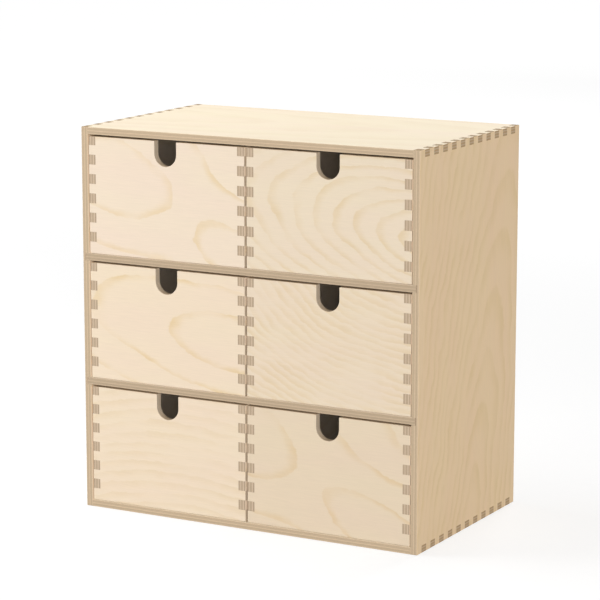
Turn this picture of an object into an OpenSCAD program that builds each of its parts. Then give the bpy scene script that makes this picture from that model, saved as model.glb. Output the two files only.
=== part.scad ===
// Desktop chest of six small drawers, three rows of two, cut from birch plywood.
// Every corner is a glued finger joint, and each drawer slides out towards the front.
// The chest stands on z = 0, centred on x = y = 0, with its front at -y. Millimetres.

/* [Case] */
// Width of the case over its side panels
case_width = 310; // [260:1:360]
// Depth of the case from its front edge to its rear edge
case_depth = 184; // [150:1:230]
// Height of the case
case_height = 321; // [280:1:380]
// Thickness of the side, top and bottom panels
case_board = 6; // [5:0.1:8]
// Fingers at each end of the top panel and of the bottom panel
case_fingers = 11; // [7:1:14]
// Length of the first and the last finger of a side panel's end
case_end_finger = 8.4; // [8:0.1:11]

/* [Shelves and back] */
// Thickness of the two shelves
shelf_board = 6; // [4:0.1:8]
// Depth of the slot in a side panel that holds a shelf's end
dado_depth = 4; // [2:0.1:4.5]
// Room left between a shelf's end and the bottom of its slot
dado_end_gap = 0.4; // [0.1:0.1:0.8]
// Thickness of the back panel
back_board = 3; // [2:0.1:3]
// Distance from the case's rear edges in to the back panel
back_inset = 5; // [3:0.1:5]
// Depth of the groove that holds the back panel's edges
back_groove = 3; // [1.5:0.1:3.5]

/* [Drawers] */
// Thickness of a drawer's front, back and side walls
drawer_board = 6.5; // [5:0.1:8]
// Fingers of a side wall at each of a drawer's corners
drawer_fingers = 6; // [4:1:8]
// Height of the plain strip of a drawer's front below the lowest finger of its side walls
drawer_foot = 9.8; // [8:0.1:12]
// Height of a side wall's uppermost finger
drawer_cap = 7.2; // [5:0.1:10]
// Width of the finger notch in a drawer's front
notch_width = 20.5; // [16:0.5:30]
// Depth of the finger notch below the front's top edge
notch_depth = 20.5; // [15:0.5:30]
// Thickness of a drawer's bottom
bottom_board = 3; // [2:0.1:3.5]
// Height of a drawer bottom's underside above the lower edges of the walls
bottom_lift = 4; // [3:0.1:4.5]
// Depth of the groove that holds a drawer bottom's edges
bottom_groove = 3; // [1.5:0.1:4]

/* [Fit] */
// Gap between a drawer and the side panel beside it
side_gap = 0.7; // [0.3:0.1:1.5]
// Gap between the two drawers of a row
middle_gap = 1.9; // [0.6:0.1:3]
// Gap above a drawer
top_gap = 1.6; // [0.5:0.1:3]
// Running clearance under a drawer
slide_gap = 0.2; // [0.1:0.05:0.4]
// How far a closed drawer's front lies behind the case's front edges
drawer_recess = 0.5; // [0:0.1:3]
// Gap between a closed drawer and the back panel
rear_gap = 0.5; // [0.2:0.1:3]
// Clearance on each side of a glued joint
joint_gap = 0.05; // [0.02:0.01:0.1]
// Clearance on each side of a thin board in its groove
groove_gap = 0.1; // [0.05:0.01:0.2]

/* [Hidden] */
$fn = 96;

// Rows from the desk upwards, and the two drawers of a row
ROWS = ["bottom", "middle", "top"];
COLUMNS = ["left", "right"];
CASE_PIECES = [
    "left_side", "right_side", "top_panel", "bottom_panel",
    "lower_shelf", "upper_shelf", "back_panel"
];
DRAWER_PIECES = ["front", "back", "left_wall", "right_wall", "bottom"];
function drawer_node(row, column, piece) =
    str(ROWS[row], "_", COLUMNS[column], "_drawer_", piece);

// Colours of the sanded veneer, of the boards seen mostly by their edges, and of the thin boards
VENEER = [0.94, 0.88, 0.78];
EDGE = [0.80, 0.70, 0.58];
THIN = [0.90, 0.82, 0.70];

// A cut that runs out of a face starts this far outside it
over = 1;

// Case
inner_width = case_width - 2 * case_board;
inner_height = case_height - 2 * case_board;
row_height = (inner_height - 2 * shelf_board) / 3;
case_finger = (case_depth - 2 * case_end_finger) / (2 * case_fingers - 1);
back_face = case_depth / 2 - back_inset - back_board;
shelf_depth = case_depth / 2 + back_face - joint_gap;
shelf_length = inner_width + 2 * (dado_depth - dado_end_gap);

// Drawers
drawer_width = (inner_width - 2 * side_gap - middle_gap) / 2;
drawer_height = row_height - slide_gap - top_gap;
drawer_length = case_depth / 2 + back_face - drawer_recess - rear_gap;
drawer_steps = 2 * drawer_fingers - 1;
drawer_finger = (drawer_height - drawer_foot - drawer_cap) / (drawer_steps - 1);
notch_radius = notch_width / 2;

// Underside of a shelf: 1 is the lower one, 2 the upper one
function shelf_base(level) = case_board + level * row_height + (level - 1) * shelf_board;
// Floor that a row of drawers runs on
function row_floor(row) = case_board + row * (row_height + shelf_board);
// Start of the top panel's finger i, measured from the case's front edge
function case_finger_start(i) = case_end_finger + 2 * i * case_finger;
// Lower end and upper end of a side wall's finger i, counted up from the foot
function wall_finger_low(i) = drawer_foot + 2 * i * drawer_finger;
function wall_finger_high(i) =
    i == drawer_fingers - 1 ? drawer_height : wall_finger_low(i) + drawer_finger;

// ---- Case ----

// A box centred on x = 0, with its front at y and its underside at z
module board(width, y, depth, z, height) {
    translate([-width / 2, y, z]) cube([width, depth, height]);
}

// The fingers of the top or bottom panel, which run right across the case. extra widens
// them on both flanks, and reach lengthens them past the case's faces, for the sockets.
module panel_fingers(z, height, extra = 0, reach = 0) {
    for (i = [0 : case_fingers - 1])
        board(
            case_width + 2 * reach,
            -case_depth / 2 + case_finger_start(i) - extra, case_finger + 2 * extra,
            z, height
        );
}

// The slots that a shelf's ends sit in, as one bar across the case
module shelf_slot(level) {
    board(
        inner_width + 2 * dado_depth,
        -case_depth / 2 - over, shelf_depth + joint_gap + over,
        shelf_base(level) - joint_gap, shelf_board + 2 * joint_gap
    );
}

// The groove round the inside of the case that holds the back panel
module back_slot() {
    board(
        inner_width + 2 * back_groove,
        back_face - groove_gap, back_board + 2 * groove_gap,
        case_board - back_groove, inner_height + 2 * back_groove
    );
}

// A side panel: -1 is the left one, 1 the right one
module side_panel(side) {
    color(EDGE)
        difference() {
            translate([side * (case_width - case_board) / 2 - case_board / 2, -case_depth / 2, 0])
                cube([case_board, case_depth, case_height]);
            panel_fingers(-over, case_board + over, joint_gap, over);
            panel_fingers(case_height - case_board, case_board + over, joint_gap, over);
            for (level = [1, 2]) shelf_slot(level);
            back_slot();
        }
}

// The top panel or the bottom panel, with its underside at z
module cross_panel(z) {
    color(VENEER)
        difference() {
            union() {
                board(inner_width, -case_depth / 2, case_depth, z, case_board);
                panel_fingers(z, case_board);
            }
            back_slot();
        }
}

module shelf(level) {
    color(EDGE) board(shelf_length, -case_depth / 2, shelf_depth, shelf_base(level), shelf_board);
}

module back_panel() {
    color(THIN)
        board(
            inner_width + 2 * (back_groove - groove_gap),
            back_face, back_board,
            case_board - back_groove + groove_gap, inner_height + 2 * (back_groove - groove_gap)
        );
}

// ---- Drawer, with its front at y = 0 and its lower edges at z = 0 ----

// The groove round the inside of a drawer that holds its bottom
module bottom_slot() {
    board(
        drawer_width - 2 * (drawer_board - bottom_groove),
        drawer_board - bottom_groove, drawer_length - 2 * (drawer_board - bottom_groove),
        bottom_lift - groove_gap, bottom_board + 2 * groove_gap
    );
}

// The sockets that a side wall's fingers fill, cut through the board that starts at y
module wall_sockets(y) {
    for (side = [-1, 1], i = [0 : drawer_fingers - 1])
        translate([
            side > 0 ? drawer_width / 2 - drawer_board : -drawer_width / 2 - over,
            y - over,
            wall_finger_low(i) - joint_gap
        ])
            cube([
                drawer_board + over,
                drawer_board + 2 * over,
                wall_finger_high(i) - wall_finger_low(i) + joint_gap
                    + (i == drawer_fingers - 1 ? over : joint_gap)
            ]);
}

// The U-shaped notch for a fingertip, open at the top edge
module finger_notch() {
    translate([0, drawer_board + over, drawer_height - notch_depth + notch_radius])
        rotate([90, 0, 0])
            linear_extrude(height = drawer_board + 2 * over) {
                circle(r = notch_radius);
                translate([-notch_radius, 0])
                    square([notch_width, max(notch_depth - notch_radius, 0) + over]);
            }
}

// A front or a back before its notch: y is its front face
module end_board(y) {
    difference() {
        board(drawer_width, y, drawer_board, 0, drawer_height);
        wall_sockets(y);
        bottom_slot();
    }
}

module drawer_front() {
    color(VENEER)
        difference() {
            end_board(0);
            finger_notch();
        }
}

module drawer_back() {
    color(VENEER) end_board(drawer_length - drawer_board);
}

// A side wall: -1 is the left one, 1 the right one. It is full length at its fingers only.
module drawer_wall(side) {
    color(EDGE)
        difference() {
            translate([side * (drawer_width - drawer_board) / 2 - drawer_board / 2, 0, 0]) {
                translate([0, drawer_board, 0])
                    cube([drawer_board, drawer_length - 2 * drawer_board, drawer_height]);
                for (i = [0 : drawer_fingers - 1])
                    translate([0, 0, wall_finger_low(i)])
                        cube([
                            drawer_board,
                            drawer_length,
                            wall_finger_high(i) - wall_finger_low(i)
                        ]);
            }
            bottom_slot();
        }
}

module drawer_bottom() {
    color(THIN)
        board(
            drawer_width - 2 * (drawer_board - bottom_groove + groove_gap),
            drawer_board - bottom_groove + groove_gap,
            drawer_length - 2 * (drawer_board - bottom_groove + groove_gap),
            bottom_lift, bottom_board
        );
}

// Puts a drawer's piece in its place in the case
module in_bay(row, column) {
    translate([
        (column == 0 ? -1 : 1) * (drawer_width + middle_gap) / 2,
        -case_depth / 2 + drawer_recess,
        row_floor(row) + slide_gap
    ])
        children();
}

side_panel(-1);  // left_side
side_panel(1);  // right_side
cross_panel(case_height - case_board);  // top_panel
cross_panel(0);  // bottom_panel
shelf(1);  // lower_shelf
shelf(2);  // upper_shelf
back_panel();
for (row = [0 : 2], column = [0 : 1]) {
    in_bay(row, column) drawer_front();
    in_bay(row, column) drawer_back();
    in_bay(row, column) drawer_wall(-1);
    in_bay(row, column) drawer_wall(1);
    in_bay(row, column) drawer_bottom();
}
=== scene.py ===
import math

import bmesh
import bpy
from mathutils import Euler, Matrix, Vector


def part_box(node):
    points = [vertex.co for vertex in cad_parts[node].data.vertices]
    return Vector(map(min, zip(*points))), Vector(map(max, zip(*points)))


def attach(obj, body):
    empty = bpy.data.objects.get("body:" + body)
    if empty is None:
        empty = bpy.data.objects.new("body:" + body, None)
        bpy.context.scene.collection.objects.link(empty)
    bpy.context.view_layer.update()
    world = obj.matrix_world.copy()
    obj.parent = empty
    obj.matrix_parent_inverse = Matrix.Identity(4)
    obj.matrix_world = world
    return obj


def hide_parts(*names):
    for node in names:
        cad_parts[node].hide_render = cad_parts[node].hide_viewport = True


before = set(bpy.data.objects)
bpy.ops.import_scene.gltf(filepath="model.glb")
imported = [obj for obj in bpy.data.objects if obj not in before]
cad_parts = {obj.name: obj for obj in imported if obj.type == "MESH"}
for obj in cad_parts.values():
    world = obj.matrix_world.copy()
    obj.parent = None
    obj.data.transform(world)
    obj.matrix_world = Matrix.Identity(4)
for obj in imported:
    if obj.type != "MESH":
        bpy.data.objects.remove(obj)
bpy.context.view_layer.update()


# ---- Camera ----
# A long lens looks at the chest from its front right corner, a little above its top panel.
camera_turn = math.radians(28.91)
camera_tilt = math.radians(10.87)
camera = bpy.data.objects.new("camera", bpy.data.cameras.new("camera"))
camera.location = (1.0286, -1.8640, 0.5838)
camera.rotation_euler = Euler((math.radians(90) - camera_tilt, 0, camera_turn))
camera.data.lens = 156.2
camera.data.sensor_width = 36
bpy.context.scene.collection.objects.link(camera)
bpy.context.scene.camera = camera
bpy.context.scene.view_settings.view_transform = "Standard"


# ---- Side panels ----
# Two full-height boards of 6 mm birch plywood, sanded and left bare, grain upright. Their ends are
# cut into fingers, which are glued between those of the top and bottom panels. The corners that
# a hand can reach are eased with fine paper.
def linear(colour):
    """An sRGB hex colour as linear red, green, blue and alpha."""
    shares = [int(colour[i:i + 2], 16) / 255 for i in (1, 3, 5)]
    return (*[s / 12.92 if s <= 0.04045 else ((s + 0.055) / 1.055) ** 2.4 for s in shares], 1)


def add(tree, kind, inputs=(), **settings):
    """Adds a node with its settings and links. Inputs go by name, or in the order of the sockets
    in use. Each is a value, another node's output, or a node, which gives its first output in use."""
    node = tree.nodes.new("ShaderNode" + kind)
    for setting, value in settings.items():
        setattr(node, setting, value)
    if isinstance(inputs, dict):
        pairs = [(node.inputs[name], value) for name, value in inputs.items()]
    else:
        pairs = zip([socket for socket in node.inputs if socket.enabled], inputs)
    for socket, value in pairs:
        if isinstance(value, bpy.types.Node):
            value = next(output for output in value.outputs if output.enabled)
        if isinstance(value, bpy.types.NodeSocket):
            tree.links.new(value, socket)
        else:
            socket.default_value = value
    return node


# Millimetres in a metre
mm = 1000


def birch_plywood(board, node, grain, through, plies, hearts, ring_gap, late_wood, tan,
                  tone="#F4E4CC", late="#DABF8E", long_edge="#D0B99B", end="#B8A28A", stray=12):
    """Birch plywood, sanded and bare: a satin-dull, creamy face veneer with faint tan ring lines,
    and on every cut edge the plies, alternately end grain and long grain, with their glue lines.
    grain is the way of the face veneer's grain, and through the way through the board. hearts are
    the middles of the ring figure, in mm along and across the grain from the board's centre, each
    with how much longer its rings are than wide and their lean in degrees. ring_gap is the rings'
    spacing along the grain in mm, stray how far they wander across it in mm, late_wood the share
    of a ring that is tan, darker wood, and tan how strongly that shows. tone is the face veneer's
    colour, late that of its late wood, long_edge that of the plies' long grain on a long edge, and
    end that of their end grain on a board's end."""
    low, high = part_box(node)
    turn = Matrix((grain, through.cross(grain), through))
    centre = turn @ ((low + high) / 2) * mm
    thickness = abs((turn @ (high - low)).z) * mm
    material = bpy.data.materials.new("birch_plywood_" + node)
    material.use_nodes = True
    tree = material.node_tree
    tree.nodes.clear()

    # Places in mm, with X along the face grain, Y across it and Z through the board
    coordinates = add(tree, "TexCoord")
    lay = turn.to_euler()
    wood = {"Vector": coordinates.outputs["Object"], "Rotation": lay, "Scale": (mm, mm, mm)}
    wood = add(tree, "Mapping", wood, vector_type="POINT")
    place = add(tree, "VectorMath", [wood, centre], operation="SUBTRACT")

    # How far a surface faces each way. One that faces through the board is its face veneer.
    facing = {"Vector": coordinates.outputs["Normal"], "Rotation": lay}
    facing = add(tree, "Mapping", facing, vector_type="VECTOR")
    facing = add(tree, "VectorMath", [facing, facing], operation="MULTIPLY")
    facing = add(tree, "SeparateXYZ", [facing])
    on_face = add(tree, "MapRange", [facing.outputs["Z"], 0.35, 0.65], interpolation_type="SMOOTHSTEP")

    # Each pattern's size in mm across the grain, how much longer it is along it, and its octaves
    pattern = {}
    for name, size, stretch, octaves in (
            ("drift", 38, 1.6, 2), ("wobble", 5, 1.3, 4), ("fading", 26, 1.5, 2),
            ("blush", 30, 4, 2), ("fibre", 0.7, 22, 3), ("speckle", 0.6, 1, 2)):
        drawn_out = add(tree, "VectorMath", [wood, (1 / stretch, 1, 1)], operation="MULTIPLY")
        noise = {"Vector": drawn_out, "Scale": 1 / size, "Detail": octaves, "Roughness": 0.55}
        pattern[name] = add(tree, "TexNoise", noise)

    # Ring lines: the veneer is peeled round the log, so its rings show as broad closed figures,
    # which drift and wobble by so many mm. Where two figures meet, they merge.
    bent = place
    for name, reach in (("drift", (20, stray, 0)), ("wobble", (5.5, 4, 0))):
        sway = [pattern[name].outputs["Color"], (0.5, 0.5, 0.5)]
        sway = add(tree, "VectorMath", sway, operation="SUBTRACT")
        bent = add(tree, "VectorMath", [sway, reach, bent], operation="MULTIPLY_ADD")
    radius = None
    for heart_x, heart_y, length, lean in hearts:
        ring_shape = {"Vector": bent, "Location": (heart_x, heart_y, 0),
                      "Rotation": (0, 0, math.radians(lean)), "Scale": (1, 1 / length, 1)}
        reach = add(tree, "Mapping", ring_shape, vector_type="TEXTURE")
        reach = add(tree, "VectorMath", [reach], operation="LENGTH")
        if radius:
            reach = add(tree, "Math", [radius, reach, 0.5 * ring_gap], operation="SMOOTH_MIN")
        radius = reach
    ring = add(tree, "Math", [radius, 1 / ring_gap], operation="MULTIPLY")
    ring = add(tree, "Math", [ring], operation="FRACT")

    # Late wood darkens slowly from its start to its crest, then ends at a sharp line, and in
    # places it fades almost away
    start = max(0, 1 - 2.4 * late_wood)
    crest = 1 - 0.35 * late_wood
    rise = add(tree, "MapRange", [ring, start, crest], interpolation_type="SMOOTHSTEP")
    fall = add(tree, "MapRange", [ring, crest, 1, 1, 0], interpolation_type="SMOOTHSTEP")
    fading = add(tree, "MapRange", [pattern["fading"], 0.34, 0.62, 0.15 * tan, tan])
    line = add(tree, "Math", [rise, fall], operation="MULTIPLY")
    line = add(tree, "Math", [line, fading], operation="MULTIPLY")

    # The veneer's tone drifts to a pinker one in long streaks, with fine fibres along the grain
    pinker = [share * part for share, part in zip(linear(tone), (1, 0.98, 1.005, 1))]
    blush = add(tree, "MapRange", [pattern["blush"], 0.35, 0.65])
    veneer = add(tree, "Mix", [blush, linear(tone), pinker], data_type="RGBA")
    veneer = add(tree, "Mix", [line, veneer, linear(late)], data_type="RGBA")
    fibres = add(tree, "MapRange", [pattern["fibre"], 0.3, 0.7, 0.975, 1.02])
    veneer = add(tree, "VectorMath", [veneer, fibres], operation="SCALE")

    # Edges: each ply turns its grain a quarter turn from the last, so its pale long grain and
    # its darker end grain take turns. The outer plies show end grain on a board's ends only.
    depth = add(tree, "SeparateXYZ", [place]).outputs["Z"]
    depth = add(tree, "Math", [depth, plies / thickness, plies / 2], operation="MULTIPLY_ADD")
    ply = add(tree, "Math", [depth], operation="FLOOR")
    cross_ply = add(tree, "Math", [ply, 2], operation="MODULO")
    darker_ply = [0.87 * share for share in linear(long_edge)]
    along = add(tree, "Mix", [cross_ply, linear(long_edge), darker_ply], data_type="RGBA")
    paler_ply = [(dark + pale) / 2 for dark, pale in zip(linear(end), linear("#DFCBAF"))]
    across = add(tree, "Mix", [cross_ply, linear(end), paler_ply], data_type="RGBA")
    edge = add(tree, "Mix", [facing.outputs["X"], along, across], data_type="RGBA")

    # No two plies have quite the same tone, the cut wood is speckled, and a thin brown glue line
    # runs between the plies
    ply_tone = add(tree, "TexWhiteNoise", [ply], noise_dimensions="1D").outputs["Value"]
    ply_tone = add(tree, "MapRange", [ply_tone, 0, 1, 0.96, 1.03])
    speckle = add(tree, "MapRange", [pattern["speckle"], 0.3, 0.7, 0.94, 1.05])
    edge_tone = add(tree, "Math", [ply_tone, speckle], operation="MULTIPLY")
    edge = add(tree, "VectorMath", [edge, edge_tone], operation="SCALE")
    glue = add(tree, "Math", [depth, 0.5], operation="PINGPONG")
    glue = add(tree, "MapRange", [glue, 0.04, 0.16, 0.3, 0])
    edge = add(tree, "Mix", [glue, edge, linear("#8E7358")], data_type="RGBA")

    # The sanded veneer has a faint sheen and fibres a few hundredths of a mm high, and the edges
    # are dull
    colour = add(tree, "Mix", [on_face, edge, veneer], data_type="RGBA")
    height = add(tree, "Mix", [on_face, speckle, pattern["fibre"]])
    bump = add(tree, "Bump", {"Strength": 0.25, "Distance": 0.04 / mm, "Height": height})
    dull = add(tree, "MapRange", [pattern["fibre"], 0.3, 0.7, 0.54, 0.64])
    dull = add(tree, "Mix", [on_face, 0.8, dull])
    wood_shader = add(tree, "BsdfPrincipled", {
        "Base Color": colour, "Roughness": dull, "IOR": 1.45, "Specular IOR Level": 0.25, "Normal": bump})
    add(tree, "OutputMaterial", {"Surface": wood_shader})
    board.data.materials.clear()
    board.data.materials.append(material)


# How far the fine paper takes an arris back, and how close two places are that count as one
arris = 0.0004
same_place = 2e-5


def eased_board(name, node, body, cuts, is_exposed):
    """A merged copy of a CAD board with its exposed arrises rounded over. The cuts are planes,
    a point and a normal each, that part an edge where only one stretch of it is exposed."""
    board = bpy.data.objects.new(name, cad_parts[node].data.copy())
    board.data.name = name
    bpy.context.scene.collection.objects.link(board)
    bpy.ops.object.select_all(action="DESELECT")
    board.select_set(True)
    bpy.context.view_layer.objects.active = board
    bpy.ops.object.mode_set(mode="EDIT")
    bpy.ops.mesh.select_mode(type="EDGE")
    bpy.ops.mesh.select_all(action="SELECT")
    bpy.ops.mesh.remove_doubles(threshold=1e-6)
    bpy.ops.mesh.dissolve_limited(angle_limit=math.radians(0.5))
    for point, normal in cuts:
        bpy.ops.mesh.select_all(action="SELECT")
        bpy.ops.mesh.bisect(plane_co=point, plane_no=normal)
    bpy.ops.mesh.select_all(action="DESELECT")
    mesh = bmesh.from_edit_mesh(board.data)
    for edge in mesh.edges:
        if edge.calc_face_angle(0) > math.radians(45) and edge.is_convex:
            edge.select = is_exposed([vertex.co for vertex in edge.verts])
    bmesh.update_edit_mesh(board.data)
    bpy.ops.mesh.bevel(offset=arris, offset_type="OFFSET", segments=2, affect="EDGES")
    bpy.ops.object.mode_set(mode="OBJECT")
    bpy.ops.object.shade_smooth_by_angle(angle=math.radians(12))
    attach(board, body)
    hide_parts(node)
    return board


def lies_on(points, axis, level):
    """Whether all the points lie on the plane at that level of an axis."""
    return all(abs(point[axis] - level) < same_place for point in points)


def corner_line(points, low, high):
    """Whether an edge is one of the outer corner lines of a box, or a stretch of one."""
    sides = [(axis, level) for corner in (low, high) for axis, level in enumerate(corner)]
    return sum(lies_on(points, axis, level) for axis, level in sides) >= 2


def within(points, low, high):
    """Whether an edge's middle lies in a box."""
    middle = (points[0] + points[1]) / 2
    return all(low[axis] - same_place < middle[axis] < high[axis] + same_place for axis in range(3))


def shared_box(left, right):
    """The lowest and the highest corner of two boards together."""
    lows, highs = zip(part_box(left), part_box(right))
    return Vector(map(min, *lows)), Vector(map(max, *highs))


case_low, case_high = shared_box("left_side", "right_side")
bay_low = Vector((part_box("left_side")[1].x, case_low.y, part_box("bottom_panel")[1].z))
bay_high = Vector((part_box("right_side")[0].x, case_high.y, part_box("top_panel")[0].z))


def case_arris(points):
    """Whether an edge of a case board is exposed: outside, or round the front or rear opening."""
    if corner_line(points, case_low, case_high):
        return True
    open_end = lies_on(points, 1, case_low.y) or lies_on(points, 1, case_high.y)
    return open_end and within(points, bay_low, bay_high)


x_axis, y_axis, z_axis = Vector((1, 0, 0)), Vector((0, 1, 0)), Vector((0, 0, 1))
# The right side's tone is deeper and warmer than the left's. This is partly the boards' own difference
# and partly painted warm shade for the side that stands in shade.
for hand, heart, tone in (
        ("left", (-260, -30, 5, 4), "#F5DEC0"), ("right", (-200, -2, 5.2, 13), "#FBDEB5")):
    node = hand + "_side"
    side = eased_board(hand + "_side_board", node, "case",
                       [(bay_low, z_axis), (bay_high, z_axis)], case_arris)
    # The side panels' end grain, which shows as finger tops on the top panel, is much darker than the
    # other boards' end grain. This is painted shade for rough end grain seen at a grazing angle.
    birch_plywood(side, node, grain=z_axis, through=-x_axis, plies=5, hearts=[heart], ring_gap=48,
                  late_wood=0.3, tan=0.38, tone=tone, late="#E6C88A", end="#8E7148", stray=24)


# ---- Top and bottom panels ----
# Boards of the same plywood with their grain across the chest. Eleven fingers at each end
# interlock with the side panels' fingers.
for place, heart in (("top", (-380, 8, 6, 0)), ("bottom", (-300, -20, 6, 0))):
    node = place + "_panel"
    panel = eased_board(place + "_board", node, "case", [], case_arris)
    birch_plywood(panel, node, grain=x_axis, through=z_axis, plies=5, hearts=[heart], ring_gap=120,
                  late_wood=0.5, tan=0.12, tone="#F8EACE", end="#C4A47D")


# ---- Shelves ----
# Two boards of the same plywood, slid from the front into slots in the side panels and glued.
# Their front edges end in the side panels, so only the stretch between those is eased.
for place, heart in (("lower", (-260, 15, 4, 0)), ("upper", (300, -10, 5, 0))):
    node = place + "_shelf"
    shelf = eased_board(place + "_shelf_board", node, "case",
                        [(bay_low, x_axis), (bay_high, x_axis)], case_arris)
    birch_plywood(shelf, node, grain=x_axis, through=z_axis, plies=5, hearts=[heart], ring_gap=60,
                  late_wood=0.2, tan=0.3, long_edge="#C5AF93")


# ---- Back panel ----
# A thin three-ply birch board, held all round in a groove, so none of its edges shows.
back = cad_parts["back_panel"]
birch_plywood(back, "back_panel", grain=x_axis, through=-y_axis, plies=3, hearts=[(-350, 20, 4, 3)],
              ring_gap=56, late_wood=0.2, tan=0.35)


# ---- Drawer fronts ----
# Six boards of birch plywood, 6.5 mm thick, each from another stretch of the peeled veneer, so
# each has a figure of its own. A round-ended notch at the top edge takes a fingertip.
# The fronts' tones grow darker from the left column to the right, and most at the bottom right. This is
# partly the boards' own tones and partly painted shade for the light falling off away from the upper
# left.
figures = {
    "top_left": dict(
        hearts=[(-50, 18, 1.9, -18), (78, -44, 2.6, -26)],
        ring_gap=58, late_wood=0.09, tan=0.5, tone="#EDDCC5", late="#E0C38D"),
    "top_right": dict(
        hearts=[(122, -23, 2.85, -12)], ring_gap=20, late_wood=0.22, tan=0.5, tone="#E8D8BF"),
    "middle_left": dict(
        hearts=[(72, -9, 3.4, -11)],
        ring_gap=75, late_wood=0.09, tan=0.62, tone="#EDDBC1", late="#E0C38D"),
    "middle_right": dict(
        hearts=[(60, 75, 1.6, -12)], ring_gap=9.6, late_wood=0.45, tan=0.4, tone="#E8D7BE"),
    "bottom_left": dict(
        hearts=[(10, -330, 1.0, 0)], ring_gap=8.5, late_wood=0.35, tan=0.26, tone="#EDDBC1"),
    "bottom_right": dict(
        hearts=[(-82, 24, 1.9, -18), (46, -38, 2.6, -24)],
        ring_gap=58, late_wood=0.09, tan=0.48, tone="#E4D2B7", late="#D9BA86"),
}
notch_width = 0.0205
notch_depth = 0.0205


def drawer_room(drawer):
    """The lowest and the highest corner of the room between a drawer's boards."""
    left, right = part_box(drawer + "_left_wall"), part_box(drawer + "_right_wall")
    front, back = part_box(drawer + "_front"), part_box(drawer + "_back")
    return Vector((left[1].x, front[1].y, left[0].z)), Vector((right[0].x, back[0].y, left[1].z))


def drawer_arris(drawer):
    """A test for whether an edge of a drawer's board is exposed: outside, or on the open rim."""
    low, high = shared_box(drawer + "_left_wall", drawer + "_right_wall")
    room_low, room_high = drawer_room(drawer)

    def exposed(points):
        rim = lies_on(points, 2, high.z) and within(points, room_low, room_high)
        return rim or corner_line(points, low, high)

    return exposed


def front_arris(drawer):
    """The same test for a drawer front, whose notch is eased as well."""
    low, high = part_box(drawer + "_front")
    middle = (low.x + high.x) / 2
    notch_low = Vector((middle - notch_width / 2, low.y, high.z - notch_depth))
    notch_high = Vector((middle + notch_width / 2, high.y, high.z))
    exposed = drawer_arris(drawer)
    return lambda points: exposed(points) or within(points, notch_low, notch_high)


for place, figure in figures.items():
    drawer = place + "_drawer"
    node = drawer + "_front"
    front = eased_board(node + "_board", node, drawer, [], front_arris(drawer))
    # The fronts' end grain is paler than the other boards' end grain. This is painted light for the
    # narrow gaps between the drawers, where it shows in shade.
    birch_plywood(front, node, grain=x_axis, through=-y_axis, plies=5, end="#D0BFA8", **figure)


# ---- Drawer backs and side walls ----
# Plain boards of the same 6.5 mm plywood. The side walls' fingers show as end grain squares on
# the drawer's front.
for number, place in enumerate(figures):
    drawer = place + "_drawer"
    heart = (-200 + 22 * number, 12 * number - 25, 4, 2)
    ends = [(corner, y_axis) for corner in drawer_room(drawer)]
    for piece, grain, through, cuts in (
            ("back", x_axis, -y_axis, []), ("left_wall", y_axis, x_axis, ends),
            ("right_wall", y_axis, x_axis, ends)):
        node = drawer + "_" + piece
        wall = eased_board(node + "_board", node, drawer, cuts, drawer_arris(drawer))
        birch_plywood(wall, node, grain, through, plies=5, hearts=[heart], ring_gap=44,
                      late_wood=0.2, tan=0.3, tone="#F0DFC6")


# ---- Drawer bottoms ----
# Thin three-ply birch boards in grooves round the insides of the drawers.
for number, place in enumerate(figures):
    node = place + "_drawer_bottom"
    heart = (250 - 24 * number, 14 * number - 35, 4, 2)
    birch_plywood(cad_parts[node], node, grain=x_axis, through=z_axis, plies=3, hearts=[heart],
                  ring_gap=50, late_wood=0.2, tan=0.3, tone="#F2DDBD")


# ---- Floor and light ----
# White studio paper under the chest, which keeps its soft shadow, and dim even light from all
# round. A large softbox far behind the camera lights the front, the side and the notches, and
# smaller ones stand low on the left, overhead and behind the chest.
bpy.ops.object.select_all(action="DESELECT")
bpy.ops.mesh.primitive_plane_add(size=40)
floor = bpy.context.object
floor.name = "floor"


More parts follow.
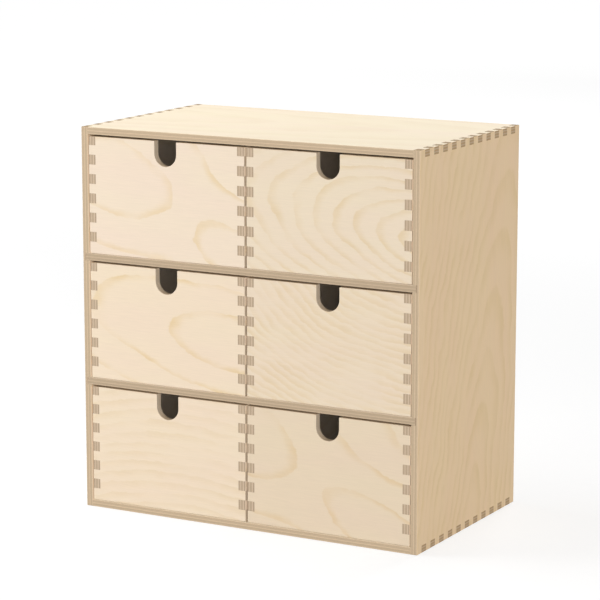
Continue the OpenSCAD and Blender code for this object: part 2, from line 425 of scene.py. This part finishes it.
def seen_direct(tree):
    """Whether a ray comes from the camera, or by way of a gloss or a pane."""
    path = add(tree, "LightPath").outputs
    direct = add(tree, "Math", [path["Is Camera Ray"], path["Is Glossy Ray"]], operation="MAXIMUM")
    return add(tree, "Math", [direct, path["Is Transmission Ray"]], operation="MAXIMUM")


# Matt paper. The near lamps fall off across it, so its own glow makes up for them further out.
paper = bpy.data.materials.new("white_studio_paper")
paper.use_nodes = True
tree = paper.node_tree
tree.nodes.clear()
matt = add(tree, "BsdfDiffuse", {"Color": linear("#A6A6A6")})
brightest = (0.4, 1.2, 0)
glow = add(tree, "VectorMath", [add(tree, "TexCoord").outputs["Object"], brightest], operation="DISTANCE")
glow = add(tree, "MapRange", [glow, 0, 3.2, 0.58, 0.875], interpolation_type="SMOOTHSTEP")
glow = add(tree, "Emission", {"Color": linear("#FFFFFF"), "Strength": glow})
shown = add(tree, "MixShader", [seen_direct(tree), matt, add(tree, "AddShader", [matt, glow])])
add(tree, "OutputMaterial", {"Surface": shown})
floor.data.materials.append(paper)

# The room lights the chest dimly from all round, and is white where it is seen
world = bpy.data.worlds.new("studio")
bpy.context.scene.world = world
world.use_nodes = True
tree = world.node_tree
tree.nodes.clear()
room = add(tree, "Background", {"Color": linear("#FFFFFF"), "Strength": 0.3})
backdrop = add(tree, "Background", {"Color": linear("#FFFFFF"), "Strength": 1})
add(tree, "OutputWorld", {"Surface": add(tree, "MixShader", [seen_direct(tree), room, backdrop])})

chest_middle = (case_low + case_high) / 2
for name, place, width, height, watts in (
        ("far_softbox", (4.16, -6.66, 1.7), 2.2, 3.2, 445),
        ("left_softbox", (-1.05, -0.7, 0.5), 0.5, 0.6, 4.4),
        ("back_softbox", (0, 2.4, 1.5), 1.2, 1.2, 30),
        ("overhead_softbox", (-0.48, -0.1, 1.32), 0.6, 0.6, 5.1)):
    lamp = bpy.data.lights.new(name, "AREA")
    lamp.shape = "RECTANGLE"
    lamp.size = width
    lamp.size_y = height
    lamp.energy = watts
    fixture = bpy.data.objects.new(name, lamp)
    fixture.location = place
    fixture.rotation_euler = (chest_middle - fixture.location).to_track_quat("-Z", "Y").to_euler()
    bpy.context.scene.collection.objects.link(fixture)
